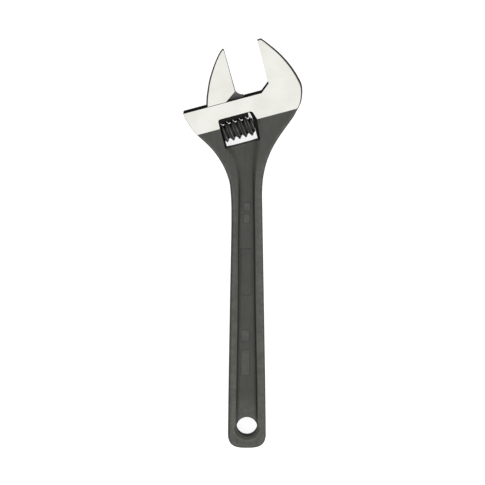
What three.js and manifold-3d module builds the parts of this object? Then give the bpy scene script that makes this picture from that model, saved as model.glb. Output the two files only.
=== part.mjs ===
// Adjustable wrench of the 15 inch size, lying on its back face with the jaws open by about 31 mm.
// Five pieces: forged body with the fixed jaw, movable jaw, adjusting knurl, its pin and its spring.
// Millimetres. +Y runs along the handle towards the head, +X to the fixed jaw's side, +Z up.
import * as THREE from "three";
import { mergeVertices } from "three/addons/utils/BufferGeometryUtils.js";
import { ConvexGeometry } from "three/addons/geometries/ConvexGeometry.js";
import Module from "manifold-3d";

const wasm = await Module();
wasm.setup();

// ---------------------------------------------------------------- driving dimensions
const clearance = 0.3;

// Thicknesses are kept as halves, measured from the mid-plane of the forging.
const headHalf = 10.3;
const handleHalf = 6.6;
const webHalf = 4;
const jawTipHalf = 4.6;

// The head is turned on the handle. Head places are (u, v): u along the jaw's track, v out of it.
const headTurn = THREE.MathUtils.degToRad(15);
const headOrigin = new THREE.Vector2(-14.1, 304.4); // from the centre of the hanging hole
const groundEdgeV = -21.8; // lower edge of the ground faces
const flatEdgeV = -4; // the ground faces are flat up to this line and thin out from it to the tips
const jawTipV = 46.9;
const forgedStep = 0.1; // the forged neck stands back from the ground head by this much
const slopeLength = 68; // way along v in which the rims come down from the head to the handle

// Jaws and throat
const fixedFaceU = 36.5;
const movableFaceU = 5.2;
const throatU = 28.1;
const throatRise = 6.8;
const shoulderU = -45.5;

// Rail of the movable jaw and its bore
const railRadius = 7;
const railV = -13;
const railLeftU = -37.6;
const railRightU = 11.2;
const neckHalf = 3.3;
const neckLeftU = -21.2;
const boreEndU = 43.2;
const slotTopV = 8.3;

// Window for the knurl, and the corners of its flare on the faces
const windowLeftU = -15.3;
const windowRightU = 14;
const windowTopV = -15;
const windowBottomV = -41;
const windowRound = 2.4;
const windowCornerU = 2.2;
const windowCornerV = 3.4;
const flareStartHalf = 5.5;
const flareCorners = [
  [-16.2, -16], [-14, -13.5], [13, -13.5], [16.2, -16.2], [17.8, -21], [15.9, -41.4], [-16.6, -41.4],
];

// Knurl: a single-start right-hand worm that meshes with the rack on the rail
const pitch = 5.8;
const wormRadius = 9.2;
const wormRootRadius = 6.3;
const wormV = -27.4;
const wormLeftU = -14.9;
const wormThreadEndU = 11.6; // the thread runs out here, and a plain hub goes on
const wormRightU = 13.5;
const grooveU = -1.5; // a groove of the worm stands over this place on the rail's side
const rackTipHalf = 1.1;
const rackDepth = 2.6;
const rackFlank = 0.583; // growth of a rack tooth's half width for each mm of depth

// Pin and spring
const pinRadius = 3;
const pinThreadRadius = 3.9;
const pinThreadLength = 10;
const pinLeftU = -32;
const pinRightU = 23.7;
const springPocketRadius = 4.6;
const springPocketDepth = 6;
const springRadius = 3.85;
const springWire = 0.42;
const springTurns = 4;

// Handle
const holeRadius = 9.5;
const holeChamfer = 1;
const tailStartY = -8;
const tailReach = 13;
const tailPower = 2.7;
const tailThinning = 1.2;
const channelStartY = 4; // the channel's floor goes down from this place to the next
const channelFullY = 27;
const sideRound = 2.6; // rounding of the side edges on the handle, and at the head
const sideRoundAtHead = 1.2;
const panelWidth = 10.4;
const panelLength = 44;
const panelBand = 0.8;
const panelRise = 0.3;
const panelX = -0.5;
const panelY = 146;

// ---------------------------------------------------------------- helpers for solids
function solidOf(geometry, matrix = new THREE.Matrix4()) {
  const bare = geometry.clone().applyMatrix4(matrix);
  bare.deleteAttribute("normal");
  bare.deleteAttribute("uv");
  const welded = mergeVertices(bare, 1e-4);
  return new wasm.Manifold(
    new wasm.Mesh({
      numProp: 3,
      vertProperties: welded.attributes.position.array,
      triVerts: new Uint32Array(welded.index.array),
    }),
  );
}

function meshOf(name, solid, material) {
  const made = solid.getMesh();
  const indexed = new THREE.BufferGeometry();
  indexed.setAttribute("position", new THREE.BufferAttribute(made.vertProperties, 3));
  indexed.setIndex(new THREE.BufferAttribute(made.triVerts, 1));
  const geometry = indexed.toNonIndexed();
  geometry.computeVertexNormals();
  const mesh = new THREE.Mesh(geometry, material);
  mesh.name = name;
  return mesh;
}

const midPlane = new THREE.Matrix4().makeTranslation(0, 0, headHalf);
const inHead = new THREE.Matrix4()
  .makeTranslation(headOrigin.x, headOrigin.y, headHalf)
  .multiply(new THREE.Matrix4().makeRotationZ(headTurn));

function fromHead(u, v) {
  return new THREE.Vector2(u, v).rotateAround(new THREE.Vector2(), headTurn).add(headOrigin);
}

function toHead(x, y) {
  const place = new THREE.Vector2(x, y).sub(headOrigin);
  return place.rotateAround(new THREE.Vector2(), -headTurn);
}

function headBox(u0, u1, v0, v1, half) {
  const box = new THREE.BoxGeometry(u1 - u0, v1 - v0, 2 * half);
  box.translate((u0 + u1) / 2, (v0 + v1) / 2, 0);
  return solidOf(box, inHead);
}

// A round bar along u, in the head's mid-plane.
function headRod(radius, u0, u1, v, segments = 40) {
  const rod = new THREE.CylinderGeometry(radius, radius, u1 - u0, segments);
  rod.rotateZ(-Math.PI / 2);
  rod.translate((u0 + u1) / 2, v, 0);
  return solidOf(rod, inHead);
}

// A flat outline made into a plate that is centred on the mid-plane, with bevelled edges.
function plate(shape, half, bevel, matrix, curveSegments = 4) {
  const geometry = new THREE.ExtrudeGeometry(shape, {
    depth: 2 * (half - bevel),
    bevelEnabled: bevel > 0,
    bevelThickness: bevel,
    bevelSize: bevel,
    bevelOffset: -bevel,
    bevelSegments: 2,
    curveSegments,
  });
  geometry.translate(0, 0, bevel - half);
  return solidOf(geometry, matrix);
}

// A skin with a closed ring of points on each row, made from a cylinder's rows and its two ends.
function loft(rows, around, place) {
  const geometry = new THREE.CylinderGeometry(1, 1, rows, around, rows);
  const position = geometry.attributes.position;
  for (let i = 0; i < position.count; i++) {
    const x = position.getX(i);
    const z = position.getZ(i);
    const row = Math.round(rows / 2 - position.getY(i));
    const step = Math.round((Math.atan2(x, z) / (2 * Math.PI)) * around + around) % around;
    const at = place(row, step, Math.hypot(x, z) < 0.5);
    position.setXYZ(i, at.x, at.y, at.z);
  }
  return geometry;
}

// ---------------------------------------------------------------- outlines
const points = (list) => list.map(([x, y]) => new THREE.Vector2(x, y));

// Side edges of the forging from the tail up to the ground faces, each rising in y.
const rightEdge = new THREE.SplineCurve(
  points([
    [17.55, -8], [16.95, 40], [15.6, 117], [14.2, 195], [13.9, 222], [15.95, 239.4],
    [21.1, 256], [28.9, 270.6], [41.6, 288.9], [46.6, 297], [49.4, 306.5],
  ]),
);
const leftEdge = new THREE.SplineCurve([
  ...points([
    [-17.55, -8], [-16.95, 40], [-15.6, 117], [-14.2, 195], [-15.2, 222.8], [-17.5, 233.9],
    [-21.9, 244.9], [-28.7, 256], [-36.6, 265],
  ]),
  fromHead(-38.8, groundEdgeV),
  fromHead(-44.2, -8),
  fromHead(-46, 12),
]);

// Side edges of the channel in the handle, opening out to the width of the window.
const channelRight = new THREE.SplineCurve(
  points([
    [9.3, 0], [9.2, 21], [7.4, 120], [6.9, 176], [6.4, 213], [6.5, 240], [7.4, 256], [8.4, 267],
    [8, 320],
  ]),
);
const channelLeft = new THREE.SplineCurve(
  points([
    [-9.6, 0], [-9.5, 21], [-7.9, 120], [-7.7, 176], [-7.2, 213], [-7.4, 233], [-9.4, 247],
    [-13.2, 256.2], [-18, 262], [-19, 268], [-19, 320],
  ]),
);

const edgeTable = (curve) => curve.getPoints(400);
const edges = {
  right: edgeTable(rightEdge),
  left: edgeTable(leftEdge),
  channelRight: edgeTable(channelRight),
  channelLeft: edgeTable(channelLeft),
};

function edgeX(table, y) {
  const next = table.findIndex((p) => p.y > y);
  const a = table[Math.max(next, 1) - 1];
  const b = table[Math.max(next, 1)];
  return THREE.MathUtils.mapLinear(y, a.y, b.y, a.x, b.x);
}

// Head outline: fixed jaw, throat, track and shoulder, closed along the lower edge of the ground faces.
function headOutline() {
  const shape = new THREE.Shape();
  const start = fromHead(fixedFaceU, jawTipV - 0.2);
  shape.moveTo(start.x, start.y);
  for (const [u, v] of [[fixedFaceU, throatRise], [throatU, 0], [shoulderU, 0]]) {
    const corner = fromHead(u, v);
    shape.lineTo(corner.x, corner.y);
  }
  const shoulder = [[-45.3, -3.6], [-44.2, -8], [-42.1, -14.4], [-38.8, groundEdgeV], [-37.2, -24.4]];
  shape.splineThru(shoulder.map(([u, v]) => fromHead(u, v)));
  const right = new THREE.Vector2(edgeX(edges.right, 297.4), 297.4);
  shape.lineTo(right.x, right.y);
  shape.splineThru(
    points([[49.4, 304.6], [49.7, 316.5], [45.9, 325.5], [38.8, 336.2], [28.9, 347.1], [17, 356.9]]),
  );
  shape.lineTo(12.5, 360.1);
  shape.closePath();
  return shape;
}

// Movable jaw above the track, in head places.
function jawOutline() {
  const shape = new THREE.Shape();
  shape.moveTo(-23.4, clearance);
  shape.lineTo(movableFaceU - 10.2, clearance);
  shape.lineTo(movableFaceU, throatRise + 0.4);
  shape.lineTo(movableFaceU, jawTipV - 0.6);
  shape.lineTo(movableFaceU - 0.6, jawTipV);
  shape.splineThru(points([[1, 44.2], [-4.8, 37.4], [-9.9, 30.1], [-14.9, 21.9], [-18.8, 13.4]]));
  shape.splineThru(points([[-21.3, 7.2], [-23.4, clearance]]));
  return shape;
}

// Web between the movable jaw and its rail, with the hollow corner at the foot of the jaw's face.
function neckOutline() {
  const shape = new THREE.Shape();
  shape.moveTo(neckLeftU, railV);
  shape.lineTo(railRightU, railV);
  shape.lineTo(railRightU, 1.6);
  shape.quadraticCurveTo(movableFaceU + 1.6, 2.4, movableFaceU, throatRise + 0.4);
  shape.lineTo(movableFaceU - 4, throatRise + 0.4);
  shape.lineTo(neckLeftU, 2);
  shape.closePath();
  return shape;
}

// ---------------------------------------------------------------- thickness of the forging
// Side view of the ground faces, swept along the track: flat band, then thinning to the jaw tips.
function groundFaces() {
  const spare = 1;
  const slope = (headHalf - jawTipHalf) / (jawTipV - flatEdgeV);
  const start = flatEdgeV - spare / slope;
  const end = jawTipV + 3;
  const startHalf = headHalf + spare;
  const endHalf = jawTipHalf - slope * 3;
  const side = new THREE.Shape(
    points([
      [groundEdgeV, -startHalf], [start, -startHalf], [end, -endHalf],
      [end, endHalf], [start, startHalf], [groundEdgeV, startHalf],
    ]),
  );
  const sweep = new THREE.ExtrudeGeometry(side, { depth: 160, bevelEnabled: false });
  const lay = new THREE.Matrix4().makeBasis(
    new THREE.Vector3(0, 1, 0),
    new THREE.Vector3(0, 0, 1),
    new THREE.Vector3(1, 0, 0),
  );
  const across = new THREE.Matrix4().makeTranslation(-80, 0, 0).multiply(lay);
  return solidOf(sweep, inHead.clone().multiply(across));
}

// Half thickness of the rims: falls from the ground faces to the handle in a long smooth slope.
function rimHalf(x, y) {
  const below = groundEdgeV - toHead(x, y).y;
  const fall = THREE.MathUtils.clamp(below / slopeLength, 0, 1);
  const eased = 0.5 * fall + 0.5 * THREE.MathUtils.smoothstep(fall, 0, 1);
  const tail = THREE.MathUtils.clamp((tailStartY - tailReach + 3 - y) / 3, 0, 1);
  return THREE.MathUtils.lerp(headHalf - forgedStep, handleHalf, eased) - tailThinning * tail * tail;
}

// Half thickness inside the channel, from the ramp above the hanging hole to the window.
function channelHalf(y, rim) {
  const { smoothstep, lerp } = THREE.MathUtils;
  const sunk = smoothstep(y, channelStartY, channelFullY) * (1 - smoothstep(y, 268, 272));
  return lerp(rim, Math.min(webHalf, rim), sunk);
}

// ---------------------------------------------------------------- handle and neck
// One quarter of a cross-section, from the channel's floor out to the rounded side edge.
function quarter(y, edge, channelEdge) {
  const outward = Math.sign(edge);
  const headward = THREE.MathUtils.smoothstep(y, 200, 275);
  const fullRound = THREE.MathUtils.lerp(sideRound, sideRoundAtHead, headward);
  const round = Math.min(fullRound, 0.3 * Math.abs(edge));
  const channel = outward * Math.min(Math.abs(channelEdge), Math.abs(edge) - round - 0.7);
  const rim = rimHalf(channel, y);
  const floor = channelHalf(y, rim);
  const wall = outward * Math.max(0.3 * (rim - floor), clearance);
  const list = [[channel - wall, floor], [channel + wall, rim]];
  for (const angle of [0, Math.PI / 6, Math.PI / 3, Math.PI / 2]) {
    const x = edge - outward * round * (1 - Math.sin(angle));
    list.push([x, rimHalf(x, y) - round * (1 - Math.cos(angle))]);
  }
  return list;
}

function crossSection(y) {
  const tail = THREE.MathUtils.clamp((tailStartY - y) / tailReach, 0, 1);
  const taper = (1 - tail ** tailPower) ** (1 / tailPower);
  const place = Math.max(y, tailStartY);
  const inset = forgedStep * THREE.MathUtils.smoothstep(y, 250, 270);
  const right = edgeX(edges.right, place) * taper - inset;
  const left = edgeX(edges.left, place) * taper + inset;
  const rightUp = quarter(y, right, edgeX(edges.channelRight, Math.max(y, 1)));
  const leftUp = quarter(y, left, edgeX(edges.channelLeft, Math.max(y, 1)));
  const below = (list) => list.map(([x, z]) => [x, -z]);
  return [
    ...rightUp, [right, 0], ...below(rightUp).reverse(),
    ...below(leftUp), [left, 0], ...leftUp.reverse(),
  ];
}

// Places along the handle, from the head to the tail: closer together where the shape bends.
function stations() {
  const list = [];
  const runs = [[303, 195, 32], [195, channelFullY, 8], [channelFullY, channelStartY, 7]];
  for (const [from, to, steps] of [...runs, [channelStartY, tailStartY, 2]]) {
    for (let i = 0; i < steps; i++) {
      list.push(THREE.MathUtils.lerp(from, to, i / steps));
    }
  }
  const tailSteps = 10;
  for (let i = 0; i <= tailSteps; i++) {
    list.push(tailStartY - tailReach * Math.sin((i / tailSteps) * 0.49 * Math.PI));
  }
  return list;
}

function handleSolid() {
  const places = stations();
  const rings = places.map(crossSection);
  const geometry = loft(places.length - 1, rings[0].length, (row, step, isMiddle) => {
    const [x, z] = isMiddle ? [0, 0] : rings[row][step];
    return new THREE.Vector3(x, places[row], z);
  });
  const below = headBox(-160, 160, -400, groundEdgeV + 0.6, 2 * headHalf);
  return solidOf(geometry, midPlane).intersect(below);
}

// ---------------------------------------------------------------- body: forging with the fixed jaw
function windowCut() {
  const shape = new THREE.Shape();
  shape.moveTo(windowLeftU, windowBottomV);
  shape.lineTo(windowRightU, windowBottomV);
  shape.lineTo(windowRightU, windowTopV - windowCornerV);
  shape.lineTo(windowRightU - windowCornerU, windowTopV);
  shape.lineTo(windowLeftU + windowRound, windowTopV);
  const [roundU, roundV] = [windowLeftU + windowRound, windowTopV - windowRound];
  shape.absarc(roundU, roundV, windowRound, Math.PI / 2, Math.PI, false);
  shape.closePath();
  return plate(shape, headHalf + 1, 0, inHead);
}

// Sloping sides of the window, wider at the ground faces than inside.
function windowFlare(side) {
  const insideCorners = [
    [windowLeftU, windowTopV - windowRound], [windowLeftU + windowRound, windowTopV],
    [windowRightU - windowCornerU, windowTopV], [windowRightU, windowTopV - windowCornerV],
    [windowRightU, windowBottomV], [windowLeftU, windowBottomV],
  ];
  const at = (corners, half) => corners.map(([u, v]) => new THREE.Vector3(u, v, side * half));
  const hull = [...at(flareCorners, headHalf + 0.4), ...at(insideCorners, flareStartHalf)];
  return solidOf(new ConvexGeometry(hull), inHead);
}

function hangingHole() {
  const reach = handleHalf + 1;
  const wide = holeRadius + holeChamfer + 1;
  const wall = handleHalf - holeChamfer;
  const profile = [
    [0, -reach], [wide, -reach], [holeRadius, -wall], [holeRadius, wall], [wide, reach], [0, reach],
  ];
  const hole = new THREE.LatheGeometry(points(profile), 48);
  hole.rotateX(Math.PI / 2);
  return solidOf(hole, midPlane);
}

// Plain raised frame on the channel's floor, where a maker would put a name.
function namePanel(side) {
  const height = 3 * panelRise;
  const panel = solidOf(new THREE.BoxGeometry(panelWidth, panelLength, height));
  const inside = new THREE.BoxGeometry(panelWidth - 2 * panelBand, panelLength - 2 * panelBand, 2 * height);
  const z = headHalf + side * (webHalf + panelRise - height / 2);
  return panel.subtract(solidOf(inside)).translate([panelX, panelY, z]);
}

function bodySolid() {
  const head = plate(headOutline(), headHalf, 0, midPlane, 5).intersect(groundFaces());
  let body = head.add(handleSolid());
  for (const side of [-1, 1]) body = body.subtract(windowFlare(side)).add(namePanel(side));
  const threadedHole = pinLeftU + pinThreadLength + clearance;
  return body
    .subtract(windowCut())
    .subtract(hangingHole())
    .subtract(headRod(railRadius + clearance, shoulderU - 3, boreEndU, railV))
    .subtract(headBox(shoulderU - 3, boreEndU, railV, slotTopV, neckHalf + clearance))
    .subtract(headRod(pinRadius + clearance, -40, pinRightU + clearance, wormV, 32))
    .subtract(headRod(pinThreadRadius + clearance, -40, threadedHole, wormV, 32));
}

// ---------------------------------------------------------------- movable jaw
function headLathe(profile, v, segments) {
  const turned = new THREE.LatheGeometry(points(profile), segments);
  turned.rotateZ(-Math.PI / 2);
  turned.translate(0, v, 0);
  return solidOf(turned, inHead);
}

function railSolid() {
  const edge = 0.8;
  const profile = [
    [0, railLeftU], [railRadius - edge, railLeftU], [railRadius, railLeftU + edge],
    [railRadius, railRightU - edge], [railRadius - edge, railRightU], [0, railRightU],
  ];
  return headLathe(profile, railV, 40);
}

// One space between two teeth of the rack, slanted to match the lead of the worm.
function rackSpace(u) {
  const lead = Math.atan(pitch / (2 * Math.PI * (wormRootRadius + wormRadius) / 2));
  const tipHalf = pitch / 2 - rackTipHalf;
  const outer = tipHalf + 2 * rackFlank;
  const inner = tipHalf - rackDepth * rackFlank;
  const shape = new THREE.Shape(
    points([[-outer, -2], [outer, -2], [inner, rackDepth], [-inner, rackDepth]]),
  );
  const space = new THREE.ExtrudeGeometry(shape, { depth: 3 * railRadius, bevelEnabled: false });
  space.translate(0, 0, -1.5 * railRadius);
  space.rotateY(lead);
  space.translate(u, railV - railRadius, 0);
  return solidOf(space, inHead);
}

function jawSolid() {
  let jaw = plate(jawOutline(), headHalf, 0, inHead, 5)
    .intersect(groundFaces())
    .add(plate(neckOutline(), neckHalf, 0, inHead, 6))
    .add(railSolid());
  for (let space = -7; space <= 1; space++) {
    jaw = jaw.subtract(rackSpace(grooveU + (space + 0.5) * pitch));
  }
  return jaw;
}

// ---------------------------------------------------------------- knurl
// Radius of the worm at a distance from the middle of the nearest groove.
function wormRadiusAt(distance) {
  const reach = Math.min(1, distance / (0.425 * pitch));
  return wormRootRadius + (wormRadius - wormRootRadius) * reach ** 1.6;
}

function knurlSolid() {
  const length = wormRightU - wormLeftU;
  const geometry = new THREE.CylinderGeometry(1, 1, length, 48, 72);
  const position = geometry.attributes.position;
  for (let i = 0; i < position.count; i++) {
    const across = position.getX(i);
    const height = position.getZ(i);
    if (Math.hypot(across, height) < 0.5) continue;
    const along = position.getY(i) + (wormLeftU + wormRightU) / 2;
    const turn = Math.atan2(height, -across);
    const phase = (along - grooveU) / pitch - turn / (2 * Math.PI);
    const runOut = wormRadius - 3 * Math.max(0, along - wormThreadEndU);
    const thread = wormRadiusAt(Math.abs(phase - Math.round(phase)) * pitch);
    const radius = Math.min(thread, Math.max(runOut, wormRootRadius));
    position.setX(i, across * radius);
    position.setZ(i, height * radius);
  }
  geometry.rotateZ(-Math.PI / 2);
  geometry.translate((wormLeftU + wormRightU) / 2, wormV, 0);
  const pocket = wormRightU - springPocketDepth;
  return solidOf(geometry, inHead)
    .subtract(headRod(pinRadius + clearance, wormLeftU - 1, wormRightU + 1, wormV, 32))
    .subtract(headRod(springPocketRadius, pocket, wormRightU + 1, wormV, 32));
}

// ---------------------------------------------------------------- pin and spring
function pinSolid() {
  const threadEndU = pinLeftU + pinThreadLength;
  const profile = [
    [0, pinLeftU], [pinThreadRadius - 0.6, pinLeftU], [pinThreadRadius, pinLeftU + 0.6],
    [pinThreadRadius, threadEndU - 0.9], [pinRadius, threadEndU],
    [pinRadius, pinRightU - 0.8], [pinRadius - 0.8, pinRightU], [0, pinRightU],
  ];
  const slot = headBox(pinLeftU - 1, pinLeftU + 1.6, wormV - 5, wormV + 5, 0.6);
  return headLathe(profile, wormV, 32).subtract(slot);
}

class SpringCurve extends THREE.Curve {
  getPoint(t, target = new THREE.Vector3()) {
    const from = wormRightU - springPocketDepth + 0.25 + springWire;
    const to = windowRightU - 0.25 - springWire;
    const angle = 2 * Math.PI * springTurns * t;
    const v = wormV + springRadius * Math.cos(angle);
    return target.set(THREE.MathUtils.lerp(from, to, t), v, springRadius * Math.sin(angle));
  }
}

function springSolid() {
  const wire = new THREE.Shape().absarc(0, 0, springWire, 0, 2 * Math.PI, false);
  const coil = new THREE.ExtrudeGeometry(wire, {
    steps: 24 * springTurns,
    extrudePath: new SpringCurve(),
    curveSegments: 4,
    bevelEnabled: false,
  });
  return solidOf(coil, inHead);
}

// ---------------------------------------------------------------- materials and assembly
const blackPhosphate = new THREE.MeshStandardMaterial({
  color: 0x4b4a45,
  roughness: 0.6,
  metalness: 0.5,
});
const groundSteel = new THREE.MeshStandardMaterial({
  color: 0xd9dad8,
  roughness: 0.28,
  metalness: 0.9,
});
const blackedSteel = new THREE.MeshStandardMaterial({
  color: 0x2e2d2b,
  roughness: 0.5,
  metalness: 0.6,
});
const springSteel = new THREE.MeshStandardMaterial({
  color: 0x8f9092,
  roughness: 0.35,
  metalness: 0.9,
});

const wrench = new THREE.Group();
wrench.name = "adjustable_wrench";
wrench.add(
  meshOf("body", bodySolid(), blackPhosphate),
  meshOf("movable_jaw", jawSolid(), groundSteel),
  meshOf("knurl", knurlSolid(), blackedSteel),
  meshOf("knurl_pin", pinSolid(), blackedSteel),
  meshOf("pin_spring", springSolid(), springSteel),
);

// The origin is the middle of the wrench's footprint.
const footprint = new THREE.Box3().setFromObject(wrench).getCenter(new THREE.Vector3());
wrench.position.set(-footprint.x, -footprint.y, 0);

export default wrench;
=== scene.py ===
import math

import bmesh
import bpy
import numpy as np
from mathutils import Matrix, Vector
from mathutils.geometry import delaunay_2d_cdt


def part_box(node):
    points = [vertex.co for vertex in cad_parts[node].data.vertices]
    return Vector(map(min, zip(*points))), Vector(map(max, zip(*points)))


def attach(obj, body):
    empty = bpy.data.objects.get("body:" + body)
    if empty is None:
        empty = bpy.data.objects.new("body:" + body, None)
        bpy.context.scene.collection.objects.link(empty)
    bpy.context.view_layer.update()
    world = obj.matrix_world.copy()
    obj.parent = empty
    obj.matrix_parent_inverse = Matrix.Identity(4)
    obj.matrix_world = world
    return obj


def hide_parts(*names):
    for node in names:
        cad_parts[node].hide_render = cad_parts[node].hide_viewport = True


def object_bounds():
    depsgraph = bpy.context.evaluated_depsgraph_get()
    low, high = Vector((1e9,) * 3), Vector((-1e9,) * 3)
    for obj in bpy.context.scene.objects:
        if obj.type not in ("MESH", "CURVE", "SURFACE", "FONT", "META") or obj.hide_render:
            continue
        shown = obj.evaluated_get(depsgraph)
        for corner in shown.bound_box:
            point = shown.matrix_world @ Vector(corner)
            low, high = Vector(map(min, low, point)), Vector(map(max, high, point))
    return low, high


# Looks of an adjustable wrench: black forged body, ground head faces, blacked worm knurl, pin and spring.
# Shapes are worked out in millimetres in the plane of the wrench, with the origin at the centre of the
# hanging hole, +Y towards the head and z = 0 in the forging's mid-plane. Head places are (u, v): u along
# the jaw's track and v out of it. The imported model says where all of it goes.

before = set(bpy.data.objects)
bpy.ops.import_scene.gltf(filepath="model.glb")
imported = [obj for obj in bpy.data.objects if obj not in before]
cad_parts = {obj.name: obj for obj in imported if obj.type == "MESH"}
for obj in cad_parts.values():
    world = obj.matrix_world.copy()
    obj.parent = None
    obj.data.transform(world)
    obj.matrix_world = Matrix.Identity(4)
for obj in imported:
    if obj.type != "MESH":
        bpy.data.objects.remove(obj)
cad_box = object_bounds()

MM = 0.001

# ---------------------------------------------------------------- dimensions, millimetres
CLEARANCE = 0.3
HEAD_HALF = 10.3
HANDLE_HALF = 6.6
WEB_HALF = 4.0
JAW_TIP_HALF = 4.6
HEAD_TURN = math.radians(15)
HEAD_X, HEAD_Y = -14.1, 304.4
GROUND_EDGE_V = -21.8
FLAT_EDGE_V = -4.0
JAW_TIP_V = 46.9
FORGED_STEP = 0.1
HEAD_DRAFT = 0.13
HANDLE_DRAFT = 0.35
SLOPE_LENGTH = 68
SIDE_ROUND, SIDE_ROUND_HEAD, SIDE_ROUND_GROUND = 2.6, 1.2, 0.25
MACHINED_RADIUS = 0.12

FIXED_FACE_U = 36.5
MOVABLE_FACE_U = 5.2
THROAT_U = 28.1
THROAT_RISE = 6.8
SHOULDER_U = -45.5

RAIL_RADIUS = 7.0
RAIL_V = -13.0
RAIL_LEFT_U, RAIL_RIGHT_U = -37.6, 11.2
NECK_HALF = 3.3
NECK_LEFT_U = -21.2
BORE_END_U = 43.2
SLOT_TOP_V = 8.3

PITCH = 5.8
WORM_RADIUS = 9.2
WORM_ROOT = 6.3
WORM_V = -27.4
WORM_LEFT_U, WORM_THREAD_END_U, WORM_RIGHT_U = -14.9, 11.6, 13.5
GROOVE_U = -1.5
KNURLS = 36
RACK_TIP_HALF = 1.1
RACK_DEPTH = 2.6
RACK_FLANK = 0.583
RACK_SPACES = range(-7, 2)

PIN_RADIUS = 3.0
PIN_THREAD_RADIUS = 3.9
PIN_THREAD_LENGTH = 10.0
PIN_THREAD_PITCH = 1.2
PIN_THREAD_TURNS = 7
PIN_LEFT_U, PIN_RIGHT_U = -32.0, 23.7
PIN_SLOT_DEPTH = 1.6
PIN_SLOT_HALF = 0.6
SPRING_POCKET_RADIUS = 4.6
SPRING_POCKET_DEPTH = 6.0
SPRING_RADIUS = 3.85
SPRING_WIRE = 0.42
SPRING_TURNS = 4
WINDOW_RIGHT_U = 14.0

HOLE_RADIUS = 9.5
HOLE_CHAMFER = 1.0
TAIL_START_Y = -8.0
TAIL_REACH = 13.0
TAIL_POWER = 2.7
TAIL_THINNING = 1.2
TAIL_THINNING_LENGTH = 3

RIGHT_EDGE = [
    (17.55, -8), (16.95, 40), (15.6, 117), (14.2, 195), (13.9, 222), (15.95, 239.4), (21.1, 256),
    (28.9, 270.6), (41.6, 288.9), (46.6, 297), (49.4, 304.6), (49.7, 316.5), (45.9, 325.5),
    (38.8, 336.2), (28.9, 347.1), (17, 356.9),
]
LEFT_EDGE = [
    (-17.55, -8), (-16.95, 40), (-15.6, 117), (-14.2, 195), (-15.2, 222.8), (-17.5, 233.9),
    (-21.9, 244.9), (-28.7, 256), (-36.6, 265),
]
LEFT_EDGE_HEAD = [(-38.8, -21.8), (-42.1, -14.4), (-44.2, -8), (-45.3, -3.6), (SHOULDER_U, 0)]
JAW_TIP_LAND = (12.5, 360.1)
CHANNEL_RIGHT = [
    (9.3, 0), (9.2, 21), (7.4, 120), (6.9, 176), (6.4, 213), (6.5, 240), (7.4, 256), (8.4, 267), (8, 320),
]
CHANNEL_LEFT = [
    (-9.6, 0), (-9.5, 21), (-7.9, 120), (-7.7, 176), (-7.2, 213), (-7.4, 233), (-9.4, 247),
    (-13.2, 256.2), (-18, 262), (-19, 268), (-19, 320),
]
MOVABLE_BACK = [(4.6, 46.9), (1, 44.2), (-4.8, 37.4), (-9.9, 30.1), (-14.9, 21.9), (-18.8, 13.4)]
MOVABLE_FOOT = [(-18.8, 13.4), (-21.3, 7.2), (-23.4, CLEARANCE)]

# Window: corners of the opening through the web, and of its flare on the faces, with their radii.
WINDOW_INSIDE = [(-15.3, -41), (14, -41), (14, -18.4), (11.8, -15), (-15.3, -15)]
WINDOW_FACE = [(-16.6, -41.4), (15.9, -41.4), (17.8, -21), (15.2, -13.5), (-16.2, -13.5)]
WINDOW_INSIDE_ROUND = [0.5, 0.5, 0.6, 1.2, 2.4]
WINDOW_FACE_ROUND = [1.0, 1.2, 2.0, 3.0, 2.6]
FLARE_HALF = 5.5

# Channel: run-in of its walls for each mm of depth, and where it starts and is fully deep.
WALL_SLOPE, NECK_WALL_SLOPE = 0.6, 1.5
NECK_START_Y, NECK_END_Y = 215, 258
CHANNEL_RAMP = (1, 24)

# Plain raised frame and bars on the web: x, y, width, length, width of the raised band.
RAISED = [(-0.5, 146, 10.4, 44, 0.8), (0.1, 206.7, 5.8, 7.2, 2.9), (-0.4, 195.8, 5.8, 8.4, 2.9),
          (-1.5, 86.4, 7.6, 10.6, 3.8), (-1.5, 61, 7.6, 24, 3.8)]
RAISED_LIFT = 0.3
RAISED_BEVEL = 0.2
RAISED_FOOT = 0.5

# Material slots of every piece, in the order of FINISHES, and how much the rims are rubbed.
# The third slot is a much darker copy of the black finish, painted shade on hollows, the throat, the track
# top and the rail.
BLACK, GROUND, SHADED_BLACK, BLACKED, SPRING = range(5)
RIM_RUB = 0.7


# ---------------------------------------------------------------- small helpers
def head_to_plane(u, v):
    c, s = math.cos(HEAD_TURN), math.sin(HEAD_TURN)
    return HEAD_X + u * c - v * s, HEAD_Y + u * s + v * c


def plane_to_head(x, y):
    c, s = math.cos(HEAD_TURN), math.sin(HEAD_TURN)
    return (x - HEAD_X) * c + (y - HEAD_Y) * s, (y - HEAD_Y) * c - (x - HEAD_X) * s


def smoothstep(x, low, high):
    t = np.clip((x - low) / (high - low), 0, 1)
    return t * t * (3 - 2 * t)


def spline(points, steps=24):
    """Points along a Catmull-Rom curve through the given ones."""
    p = np.array(points, float)
    p = np.vstack([p[:1], p, p[-1:]])
    t = np.linspace(0, 1, steps, endpoint=False)[:, None]
    runs = []
    for a, b, c, d in zip(p, p[1:], p[2:], p[3:]):
        v0, v1 = (c - a) / 2, (d - b) / 2
        runs.append((2 * b - 2 * c + v0 + v1) * t**3 + (3 * c - 3 * b - 2 * v0 - v1) * t**2 + v0 * t + b)
    return np.vstack([*runs, p[-1:]])


def resample(line, spacing):
    """The same line with evenly spaced points, both ends kept."""
    line = np.asarray(line, float)
    along = np.r_[0, np.cumsum(np.linalg.norm(np.diff(line, axis=0), axis=1))]
    count = max(1, round(along[-1] / spacing))
    at = np.linspace(0, along[-1], count + 1)
    return np.column_stack([np.interp(at, along, line[:, k]) for k in range(2)])


def closed_loop(runs, spacing):
    """A closed outline from lines that meet end to end, with their meeting points kept as corners."""
    return np.vstack([resample(run, spacing)[:-1] for run in runs])


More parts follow.
